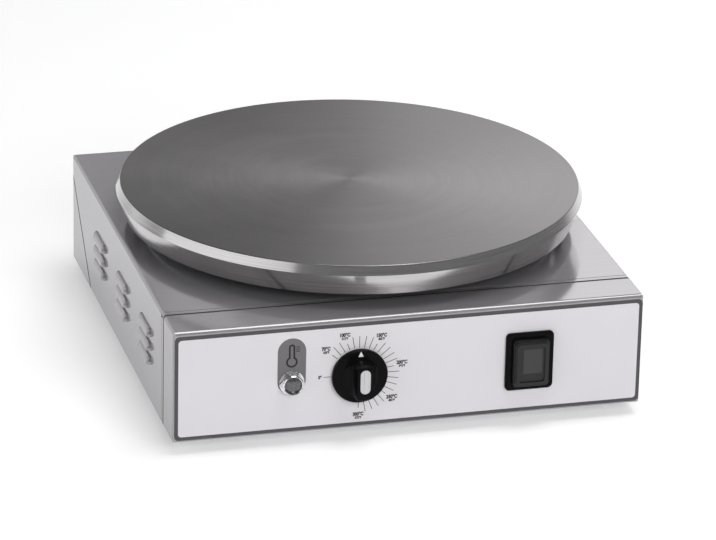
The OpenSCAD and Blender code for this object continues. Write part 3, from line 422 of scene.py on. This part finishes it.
def turned_iron(iron, rim):
    """Ground iron plate: rings of the last cut on top, and a brighter turned edge below it."""
    finish = Finish("turned_iron", metallic=1.0, anisotropic=0.6, anisotropic_rotation=0.25)
    point = finish.point()
    x, y, z = finish.axes(point)
    radius = (x * x + y * y) ** 0.5
    turn = finish.math("ARCTAN2", y, x)
    rings = finish.noise(finish.joined(radius * 1.6, turn * 1.2, 0.0), 1.0, 4.0, 0.65)
    fine = finish.noise(finish.joined(radius * 11.0, turn * 2.0, 3.0), 1.0, 2.0, 0.6)
    broad = finish.noise(finish.joined(radius * 0.07, turn * 0.8, 7.0), 1.0, 3.0, 0.6)
    stains = finish.noise(point, 0.013, 5.0, 0.65)
    top_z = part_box("cooking_plate")[1][2] / MM
    edge_start, edge_end = top_z - 0.2, top_z - 0.5
    edge = z.step(edge_start, edge_end)
    stain_start, stain_end = 90.0, 190.0
    heated = radius.step(stain_start, stain_end)
    tone = rings * 0.3 + fine * 0.2 + broad * 0.25 + stains * 0.25
    face = finish.mix(tone.step(0.25, 0.75), scaled(iron, 0.72), scaled(iron, 1.28))
    stained = finish.mix(stains, scaled(iron, 0.72), scaled(iron, 1.02))
    face = finish.mix(heated * 0.35, face, stained)
    lathe = finish.noise(finish.joined(z * 5.0, turn * 2.0, radius * 0.1), 1.0, 4.0, 0.7)
    bright = finish.mix(lathe.step(0.3, 0.7), scaled(rim, 0.7), scaled(rim, 1.15))
    finish.feed("Base Color", finish.mix(edge, face, bright))
    finish.feed("Roughness", (1 - edge) * (tone * 0.24 + 0.22) + edge * (lathe * 0.14 + 0.09))
    finish.bump((1 - edge) * (rings * 0.5 + fine * 0.5) + edge * lathe * 0.5, 0.009 * MM, 0.9)
    return finish


def film_print(look):
    """Pale satin film with a dark band round it."""
    finish = Finish("film_print", specular_ior_level=0.45, coat_weight=0.12, coat_roughness=0.25)
    point = finish.point()
    x, _, z = finish.axes(point)
    lo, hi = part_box("panel_label")
    middle = (lo[2] + hi[2]) / 2 / MM
    corner, blur = 3.0, 0.1
    half_w = (hi[0] - lo[0]) / 2 / MM - look.band / MM - corner
    half_h = (hi[2] - lo[2]) / 2 / MM - look.band / MM - corner
    out_x = (abs(x) - half_w).most(0.0)
    out_z = (abs(z - middle) - half_h).most(0.0)
    beyond = (out_x * out_x + out_z * out_z) ** 0.5
    band = beyond.step(corner - blur, corner + blur)
    grain = finish.noise(point, 2.2, 3.0)
    cloud = finish.noise(point, 0.02, 2.0)
    tone = grain * 0.5 + cloud * 0.5
    pale = finish.mix(tone, scaled(look.film, 0.97), scaled(look.film, 1.02))
    dark = finish.mix(tone, scaled(look.edge, 0.85), scaled(look.edge, 1.25))
    finish.feed("Base Color", finish.mix(band, pale, dark))
    finish.feed("Roughness", grain * 0.1 + 0.38)
    finish.bump(grain, 0.006 * MM, 0.4)
    return finish


def ink(name, shade):
    """Screen printed ink with slightly uneven cover."""
    finish = Finish(name, specular_ior_level=0.4)
    point = finish.point()
    grain = finish.noise(point, 3.0, 3.0)
    finish.feed("Base Color", finish.mix(grain, scaled(shade, 0.85), scaled(shade, 1.2)))
    finish.feed("Roughness", grain * 0.12 + 0.39)
    finish.bump(grain, 0.004 * MM, 0.4)
    return finish


def moulded(name, shade, roughness=0.3, grain_depth=0.02, gloss=0.5, soft=0.25):
    """Moulded plastic or rubber; the grain's depth and the edges' soft radius in millimetres."""
    finish = Finish(name, specular_ior_level=gloss)
    point = finish.point()
    grain = finish.noise(point, 2.6, 4.0, 0.65)
    wear = finish.noise(point, 0.07, 3.0, 0.6)
    finish.feed("Base Color", finish.mix(wear, scaled(shade, 0.8), scaled(shade, 1.3)))
    finish.feed("Roughness", wear * 0.12 + grain * 0.06 + (roughness - 0.09))
    finish.bump(grain, grain_depth * MM, 0.6, soft * MM)
    return finish


def plated(name, shade, roughness=0.08):
    """Polished plating with faint swirls."""
    finish = Finish(name, metallic=1.0)
    point = finish.point()
    swirl = finish.noise(point, 0.5, 4.0, 0.6)
    finish.feed("Base Color", finish.mix(swirl, scaled(shade, 0.94), scaled(shade, 1.04)))
    finish.feed("Roughness", swirl * 0.06 + (roughness - 0.03))
    finish.bump(swirl, 0.003 * MM, 0.4, 0.2 * MM)
    return finish


def fibre_board(shade):
    """Pressed ceramic fibre."""
    finish = Finish("fibre_board", specular_ior_level=0.1)
    point = finish.point()
    strands = finish.noise(finish.stretched(point, (0.5, 1.8, 1.0)), 1.0, 5.0, 0.7)
    finish.feed("Base Color", finish.mix(strands, scaled(shade, 0.82), scaled(shade, 1.08)))
    finish.feed("Roughness", strands * 0.15 + 0.8)
    finish.bump(strands, 0.4 * MM, 0.7)
    return finish


def smoked_glass(shade):
    """Smoked lens with a painted reflection of its reflector's facets showing through."""
    finish = Finish("smoked_glass", ior=1.5, coat_weight=1.0, coat_roughness=0.03, roughness=0.12)
    point = finish.point()
    x, _, z = finish.axes(point)
    side = x - LAMP_X / MM
    rise = z - LAMP_Z / MM
    turn = finish.math("ARCTAN2", rise, side)
    reach = (side * side + rise * rise) ** 0.5
    facets, centre_out, centre_in = 8.0, 3.2, 1.2
    # Painted reflection: the chrome reflector's facets, light and dark round the lamp's middle.
    facet_reflection = finish.math("SINE", turn * facets) * 0.5 + 0.5
    centre = reach.step(centre_out, centre_in)
    blot = finish.noise(point, 0.35, 3.0, 0.6)
    tone = (facet_reflection * 0.2 + blot * 0.8) * (1 - centre * 0.3) + centre * 0.25
    finish.feed("Base Color", finish.mix(tone, scaled(shade, 0.2), scaled(shade, 2.2)))
    return finish


def clear_rubber(shade, rocker):
    """Splash boot: clearer in a window over the rocker than at its wall."""
    finish = Finish("clear_rubber", specular_ior_level=0.35, coat_weight=0.12, coat_roughness=0.18)
    point = finish.point()
    x, _, z = finish.axes(point)
    lo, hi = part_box("switch_rocker")
    right, up = 0.7, 2.5
    middle_x = (lo[0] + hi[0]) / 2 / MM + right
    middle_z = (lo[2] + hi[2]) / 2 / MM + up
    (out_x, in_x), (out_z, in_z) = (8.2, 7.7), (11.1, 10.5)
    window = abs(x - middle_x).step(out_x, in_x) * abs(z - middle_z).step(out_z, in_z)
    grain = finish.noise(point, 1.6, 3.0)
    wall = finish.mix(grain, scaled(shade, 0.8), scaled(shade, 1.25))
    clear = finish.mix(grain, scaled(rocker, 0.85), scaled(rocker, 1.1))
    finish.feed("Base Color", finish.mix(window, wall, clear))
    finish.feed("Roughness", grain * 0.1 + 0.33)
    finish.bump(grain, 0.01 * MM, 0.4, 0.6 * MM)
    return finish


# ------------------------------------------------------------------ flat printed pieces


def new_piece(name, mesh, finish, body="casing"):
    """Adds a printed piece with the given finish, riding on the body."""
    piece = bpy.data.objects.new(name, mesh)
    bpy.context.collection.objects.link(piece)
    mesh.materials.append(finish.material)
    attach(piece, body)
    return piece


def on_panel(x, z, lift):
    """A point of the front film, lifted towards the viewer."""
    return Vector((x, PANEL_Y - lift, z))


def mesh_of(name, shape):
    """The shape as a mesh; frees the shape."""
    mesh = bpy.data.meshes.new(name)
    shape.to_mesh(mesh)
    shape.free()
    return mesh


def print_mesh(name, outlines, lift, thickness):
    """Flat closed outlines, each a list of (x, z), as thin plates on the front film."""
    shape = bmesh.new()
    for outline in outlines:
        low = [shape.verts.new(on_panel(x, z, lift - thickness)) for x, z in outline]
        high = [shape.verts.new(on_panel(x, z, lift)) for x, z in outline]
        shape.faces.new(high)
        shape.faces.new(list(reversed(low)))
        count = len(outline)
        for i in range(count):
            j = (i + 1) % count
            shape.faces.new((low[i], low[j], high[j], high[i]))
    bmesh.ops.recalc_face_normals(shape, faces=shape.faces)
    return mesh_of(name, shape)


def ring_mesh(name, outer, inner, lift, thickness):
    """The band between two outlines with the same number of points."""
    shape = bmesh.new()
    count = len(outer)
    low = lift - thickness
    rows = []
    for outline, height in ((outer, lift), (inner, lift), (inner, low), (outer, low)):
        rows.append([shape.verts.new(on_panel(x, z, height)) for x, z in outline])
    for row in range(4):
        here, there = rows[row], rows[(row + 1) % 4]
        for i in range(count):
            j = (i + 1) % count
            shape.faces.new((here[i], here[j], there[j], there[i]))
    bmesh.ops.recalc_face_normals(shape, faces=shape.faces)
    return mesh_of(name, shape)


def stadium(cx, cz, width, height, steps=24):
    """Upright outline with round ends, counter-clockwise from the right of its upper end."""
    r = width / 2
    rise = height / 2 - r
    points = []
    for middle, start in ((cz + rise, 0.0), (cz - rise, math.pi)):
        for i in range(steps + 1):
            a = start + math.pi * i / steps
            points.append((cx + r * math.cos(a), middle + r * math.sin(a)))
    return points


def bar(start, end, width):
    """Four corners of a line with width."""
    (x0, z0), (x1, z1) = start, end
    run = math.hypot(x1 - x0, z1 - z0)
    sx, sz = -(z1 - z0) / run * width / 2, (x1 - x0) / run * width / 2
    return [(x0 + sx, z0 + sz), (x0 - sx, z0 - sz), (x1 - sx, z1 - sz), (x1 + sx, z1 + sz)]


def thermometer(cx, bulb_z, top_z, bulb_r, stem_r, grow, steps=10):
    """Outline of a bulb with a stem, moved out by grow."""
    bulb, stem = bulb_r + grow, stem_r + grow
    join = math.asin(stem / bulb)
    points = []
    first, last = math.pi / 2 + join, 5 * math.pi / 2 - join
    for i in range(2 * steps + 1):
        a = first + (last - first) * i / (2 * steps)
        points.append((cx + bulb * math.cos(a), bulb_z + bulb * math.sin(a)))
    for i in range(steps + 1):
        a = math.pi * i / steps
        points.append((cx + stem * math.cos(a), top_z - stem_r + stem * math.sin(a)))
    return points


def around_knob(turn, reach):
    """A point of the dial: turn is clockwise from the top."""
    return (KNOB_X + reach * math.sin(turn), KNOB_Z + reach * math.cos(turn))


def words_mesh(name, places, lift, thickness):
    """Plain numbers, each (text, x, z, size), as one thin mesh on the front film."""
    bolder, narrower = 0.06, 0.82
    total = bmesh.new()
    for text, x, z, size in places:
        curve = bpy.data.curves.new(name + "_words", "FONT")
        curve.body = text
        curve.size = size
        curve.align_x = "CENTER"
        curve.align_y = "CENTER"
        curve.extrude = thickness / 2
        curve.offset = bolder * size
        curve.resolution_u = 3
        carrier = bpy.data.objects.new(name + "_words", curve)
        bpy.context.collection.objects.link(carrier)
        bpy.context.view_layer.update()
        flat = bpy.data.meshes.new_from_object(carrier)
        upright = Matrix.Rotation(math.pi / 2, 4, "X") @ Matrix.Scale(narrower, 4, (1, 0, 0))
        flat.transform(Matrix.Translation(on_panel(x, z, lift - thickness / 2)) @ upright)
        total.from_mesh(flat)
        bpy.data.objects.remove(carrier)
        bpy.data.curves.remove(curve)
        bpy.data.meshes.remove(flat)
    return mesh_of(name, total)


# ------------------------------------------------------------------ operators


class CREPE_OT_casing(bpy.types.Operator):
    """Dress the folded casing, its base and its rails"""

    bl_idname = "crepe_maker.casing"
    bl_label = "Casing"

    def execute(self, context):
        look = settings().metal
        sheet = brushed_sheet("brushed_sheet", look.sheet, 0.12, metal=0.5, look=look)
        for node in ("shell", "front_panel", "rear_panel"):
            dress(node, sheet)
        zinc = zinc_plate("zinc_sheet", look.zinc)
        for node in ("base_plate", "support_rails", "heat_shield", "element_clamp"):
            dress(node, zinc)
        return {"FINISHED"}


class CREPE_OT_fasteners(bpy.types.Operator):
    """Dress the studs, sleeves, nuts and screws, and the thermostat's zinc plated body"""

    bl_idname = "crepe_maker.fasteners"
    bl_label = "Fasteners"

    def execute(self, context):
        screw = zinc_plate("zinc_screws", settings().metal.zinc)
        for node in (
            "plate_studs", "clamp_sleeves", "support_sleeves", "stud_nuts", "lamp_nut",
            "thermostat_screws", "block_screws", "foot_screws", "foot_nuts", "base_screws",
            "rear_screws", "thermostat_body",
        ):
            dress(node, screw)
        return {"FINISHED"}


class CREPE_OT_plate(bpy.types.Operator):
    """Dress the cooking plate and what heats it"""

    bl_idname = "crepe_maker.plate"
    bl_label = "Cooking plate"

    def execute(self, context):
        metal, plastic = settings().metal, settings().plastic
        dress("cooking_plate", turned_iron(metal.iron, metal.rim))
        sheath = brushed_sheet("annealed_sheath", metal.sheath, 0.45, "z")
        for node in ("heating_element_outer", "heating_element_inner"):
            dress(node, sheath)
        dress("insulation_pad", fibre_board(plastic.fibre))
        dress("thermostat_bulb", plated("drawn_copper", metal.copper, 0.3))
        dress("safety_cutout", moulded("brown_ceramic", plastic.ceramic, 0.5))
        return {"FINISHED"}


class CREPE_OT_panel(bpy.types.Operator):
    """Dress the front film and print its dial and its lamp field"""

    bl_idname = "crepe_maker.panel"
    bl_label = "Front film"

    def execute(self, context):
        look = settings().panel
        dress("panel_label", film_print(look))
        black = ink("printed_black", look.ink)
        grey = ink("printed_grey", look.field)
        self.lamp_field(look, grey, black)
        self.dial(look, black)
        return {"FINISHED"}

    def lamp_field(self, look, grey, black):
        """Grey field behind the lamp, with a thermometer drawn on it."""
        middle_z = LAMP_Z + look.field_rise
        width, height = look.field_width, look.field_height
        outline = stadium(LAMP_X, middle_z, width, height)
        field = print_mesh("lamp_field", [outline], *FIRST_PRINT)
        new_piece("lamp_field", field, grey)
        grown = 2 * look.field_rim
        rim = stadium(LAMP_X, middle_z, width + grown, height + grown)
        line = ring_mesh("lamp_field_rim", rim, outline, *FIRST_PRINT)
        new_piece("lamp_field_rim", line, ink("printed_rim", scaled(look.field, 0.6)))
        low, top = LAMP_Z + look.mark_low, LAMP_Z + look.mark_top
        sizes = (LAMP_X, low, top, look.mark_bulb, look.mark_stem)
        outer, inner = thermometer(*sizes, look.mark), thermometer(*sizes, 0.0)
        mark = ring_mesh("thermometer_mark", outer, inner, *SECOND_PRINT)
        new_piece("thermometer_mark", mark, black)
        start, end = LAMP_X + look.tick_start, LAMP_X + look.tick_end
        heights = [LAMP_Z + look.tick_top - i * look.tick_pitch for i in range(3)]
        ticks = [bar((start, z), (end, z), 1.5 * look.stroke) for z in heights]
        new_piece("thermometer_lines", print_mesh("thermometer_lines", ticks, *SECOND_PRINT), black)

    def dial(self, look, black):
        """Scale round the knob: a line every ten degrees, numbers at the main ones."""
        turns = [(OFF_TURN, look.ring_short)]
        words = [("0°", *around_knob(OFF_TURN, look.ring_off), look.number_size * 0.9)]
        for value in range(FIRST_VALUE, LAST_VALUE + 1, VALUE_STEP):
            turn = math.radians(value - TOP_VALUE)
            turns.append((turn, look.ring_short if value in NUMBERED else look.ring_long))
            if value in NUMBERED:
                x, z = around_knob(turn, look.ring_number)
                words.append((f"{value}°C", x, z + look.number_up, look.number_size))
                words.append((f"{NUMBERED[value]}°F", x, z - look.small_down, look.small_size))
        lines = [
            bar(around_knob(turn, look.ring_start), around_knob(turn, reach), look.stroke)
            for turn, reach in turns
        ]
        new_piece("dial_lines", print_mesh("dial_lines", lines, *FIRST_PRINT), black)
        new_piece("dial_numbers", words_mesh("dial_numbers", words, *NUMBER_PRINT), black)


class CREPE_OT_controls(bpy.types.Operator):
    """Dress the knob, the lamp and the switch"""

    bl_idname = "crepe_maker.controls"
    bl_label = "Controls"

    def execute(self, context):
        metal, plastic = settings().metal, settings().plastic
        gloss = moulded("black_gloss", plastic.black, 0.22, 0.006, 0.06, 1.0)
        for node in ("control_knob", "switch_frame", "switch_body"):
            dress(node, gloss)
        dress("knob_inlay", brushed_sheet("brushed_inlay", metal.inlay, 0.28, "z", 0.5))
        dress("knob_pointer", moulded("white_fill", plastic.white, 0.4))
        dress("thermostat_shaft", plated("turned_brass", metal.brass, 0.25))
        dress("lamp_bezel", plated("chrome", metal.chrome))
        dress("lamp_lens", smoked_glass(plastic.lens))
        dress("lamp_body", moulded("pale_plastic", plastic.pale, 0.5))
        dress("switch_boot", clear_rubber(plastic.boot, plastic.rocker))
        dress("switch_rocker", moulded("grey_rocker", plastic.rocker, 0.35))
        return {"FINISHED"}


class CREPE_OT_supply(bpy.types.Operator):
    """Dress the gland, the terminal block, the earth stud and the feet"""

    bl_idname = "crepe_maker.supply"
    bl_label = "Supply side and feet"

    def execute(self, context):
        metal, plastic = settings().metal, settings().plastic
        satin = moulded("black_satin", plastic.black, 0.45, 0.03)
        for node in ("cable_gland", "gland_nut"):
            dress(node, satin)
        dress("terminal_block", moulded("pale_block", plastic.pale, 0.5))
        dress("earth_stud", plated("brass_stud", metal.brass, 0.25))
        dress("feet", moulded("rubber", plastic.rubber, 0.65, 0.05))
        return {"FINISHED"}


class CREPE_OT_studio(bpy.types.Operator):
    """Add the floor, the lights and the camera"""

    bl_idname = "crepe_maker.studio"
    bl_label = "Studio"

    def execute(self, context):
        look = settings().studio
        self.floor(look)
        self.sky(context)
        self.lights(context)
        self.camera(context, look)
        context.scene.view_settings.view_transform = "Standard"
        return {"FINISHED"}

    def floor(self, look):
        """A plain pale floor that looks white, also in the metal, and keeps the shadow."""
        finish = Finish("floor", specular_ior_level=0.1, roughness=0.7, emission_strength=1.0)
        finish.feed("Base Color", look.floor)
        finish.feed("Emission Color", finish.mix(seen_directly(finish), (0.0, 0.0, 0.0), look.glow))
        half_side = 8.0
        shape = bmesh.new()
        bmesh.ops.create_grid(shape, x_segments=1, y_segments=1, size=half_side)
        mesh = mesh_of("floor", shape)
        mesh.materials.append(finish.material)
        floor = bpy.data.objects.new("floor", mesh)
        bpy.context.collection.objects.link(floor)

    def sky(self, context):
        """An even sky, dimmer overhead, in front and on the right, and brightest behind, low on
        the left."""
        world = bpy.data.worlds.new("studio_sky")
        context.scene.world = world
        sky = Graph(world, "ShaderNodeBackground", "ShaderNodeOutputWorld")
        towards = sky.node("ShaderNodeTexCoord")
        x, y, z = sky.axes(towards)
        high = z.step(0.45, 0.8)
        left = x.step(-0.25, -0.9) * (1 - high)
        right = x.step(0.5, 0.95)
        front = y.step(-0.25, -0.8)
        back_left = y.step(0.5, 0.8) * x.step(-0.05, -0.3) * z.step(0.5, 0.35)
        sky.feed("Color", (0.98, 0.98, 1.0))
        around = 0.42 + left * 0.1 - right * 0.2 + back_left * 0.5
        sky.feed("Strength", around * (1 - high * 0.6) * (1 - front * 0.45))

    def lights(self, context):
        """Soft boxes: name, place, size, watts, and whether shiny pieces mirror it. All of them
        aim at the object's middle."""
        panels = (
            ("overhead", (0.43, -0.32, 2.6), (1.8, 1.7), 36.0, True),
            ("back_right_box", (1.0, 1.5, 0.85), (1.2, 0.9), 4.5, True),
            ("left_box", (-2.2, -0.5, 0.9), (3.2, 1.4), 10.0, True),
            ("front_fill", (0.4, -3.2, 1.7), (2.4, 1.2), 57.0, False),
        )
        for name, place, size, power, mirrored in panels:
            lamp = bpy.data.lights.new(name, "AREA")
            lamp.shape = "RECTANGLE"
            lamp.size, lamp.size_y = size
            lamp.energy = power
            holder = bpy.data.objects.new(name, lamp)
            holder.location = place
            holder.visible_glossy = mirrored
            aim = Vector((0, 0, 80 * MM)) - Vector(place)
            holder.rotation_euler = aim.to_track_quat("-Z", "Y").to_euler()
            context.collection.objects.link(holder)

    def camera(self, context, look):
        """The camera, turned round its target by the settings' angles."""
        az, el, roll = look.azimuth, look.elevation, look.roll
        back = Vector((math.sin(az) * math.cos(el), -math.cos(az) * math.cos(el), math.sin(el)))
        right = (-back).cross(Vector((0, 0, 1))).normalized()
        up = right.cross(-back)
        level = Matrix((right, up, back)).transposed().to_4x4()
        camera = bpy.data.cameras.new("camera")
        camera.lens = look.focal
        camera.sensor_width = 36.0
        camera.clip_end = 50.0
        holder = bpy.data.objects.new("camera", camera)
        place = Vector(look.target) + back * look.distance
        holder.matrix_world = Matrix.Translation(place) @ level @ Matrix.Rotation(roll, 4, "Z")
        context.collection.objects.link(holder)
        context.scene.camera = holder


# ------------------------------------------------------------------ add-on


class CrepeMakerSettings(bpy.types.PropertyGroup):
    """All the settings of the looks"""

    metal: PointerProperty(type=MetalSettings)
    panel: PointerProperty(type=PanelSettings)
    plastic: PointerProperty(type=PlasticSettings)
    studio: PointerProperty(type=StudioSettings)


OPERATORS = (
    CREPE_OT_casing,
    CREPE_OT_fasteners,
    CREPE_OT_plate,
    CREPE_OT_panel,
    CREPE_OT_controls,
    CREPE_OT_supply,
    CREPE_OT_studio,
)


class CREPE_PT_looks(bpy.types.Panel):
    """Buttons that dress the crepe maker piece by piece"""

    bl_idname = "CREPE_PT_looks"
    bl_label = "Crepe Maker"
    bl_space_type = "VIEW_3D"
    bl_region_type = "UI"
    bl_category = "Crepe Maker"

    def draw(self, context):
        for operator in OPERATORS:
            self.layout.operator(operator.bl_idname)


GROUPS = (MetalSettings, PanelSettings, PlasticSettings, StudioSettings, CrepeMakerSettings)


def register():
    for cls in (*GROUPS, *OPERATORS, CREPE_PT_looks):
        bpy.utils.register_class(cls)
    bpy.types.Scene.crepe_maker = PointerProperty(type=CrepeMakerSettings)


def unregister():
    del bpy.types.Scene.crepe_maker
    for cls in reversed((*GROUPS, *OPERATORS, CREPE_PT_looks)):
        bpy.utils.unregister_class(cls)


def main():
    register()
    for operator in OPERATORS:
        group, name = operator.bl_idname.split(".")
        getattr(getattr(bpy.ops, group), name)()


if __name__ == "__main__":
    main()
